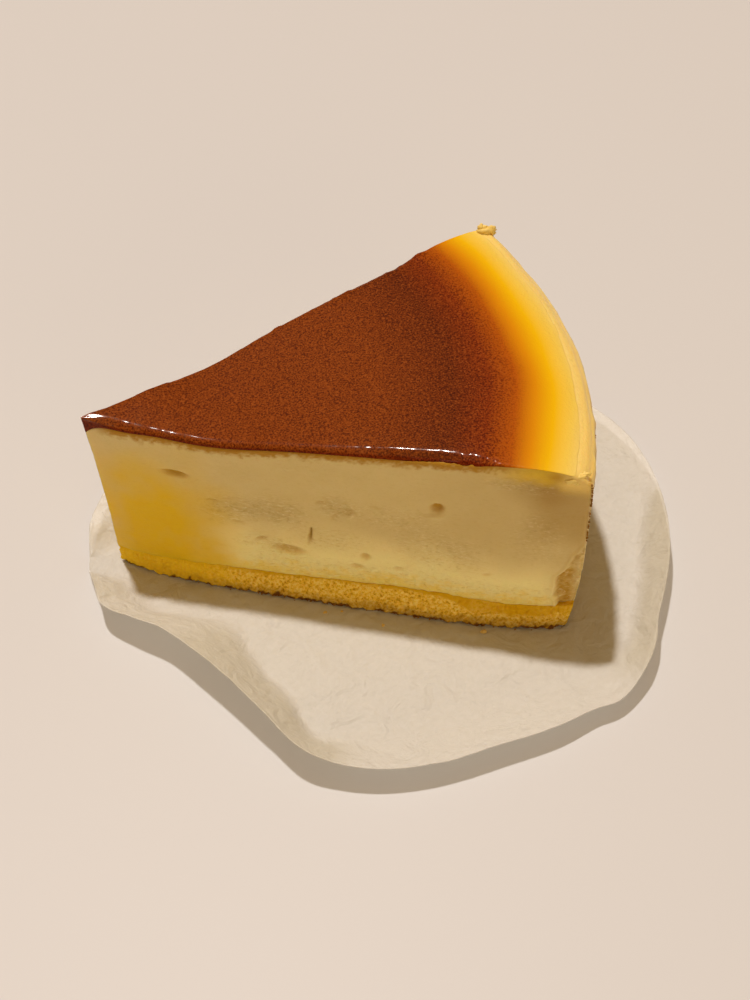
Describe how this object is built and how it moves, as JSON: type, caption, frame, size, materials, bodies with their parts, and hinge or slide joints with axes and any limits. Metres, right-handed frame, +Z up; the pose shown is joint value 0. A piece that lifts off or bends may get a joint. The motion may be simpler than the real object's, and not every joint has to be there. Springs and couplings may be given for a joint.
{
  "type": "new york cheesecake",
  "caption": "Wedge of tall baked cheesecake with a browned, rounded top, a thin sponge base and a wavy round paper liner under it.",
  "frame": {"origin": "middle of the paper liner's flat underside, at the bottom centre of the bounding box", "axes": "+Z up through the slice; +X from the slice's tip towards its outer wall, along the line that halves the slice; -Y towards the front cut face"},
  "size_m": [0.1482, 0.142, 0.0555],
  "materials": {
    "cheesecake": "baked cream cheese, pale cream where cut, browned and glossy on top",
    "sponge": "dry open crumb, golden yellow",
    "paper": "thin white greaseproof paper, slightly see-through"
  },
  "bodies": {
    "root": {"cheesecake_filling": "cheesecake", "sponge_base": "sponge", "paper_liner": "paper"}
  },
  "joints": []
}
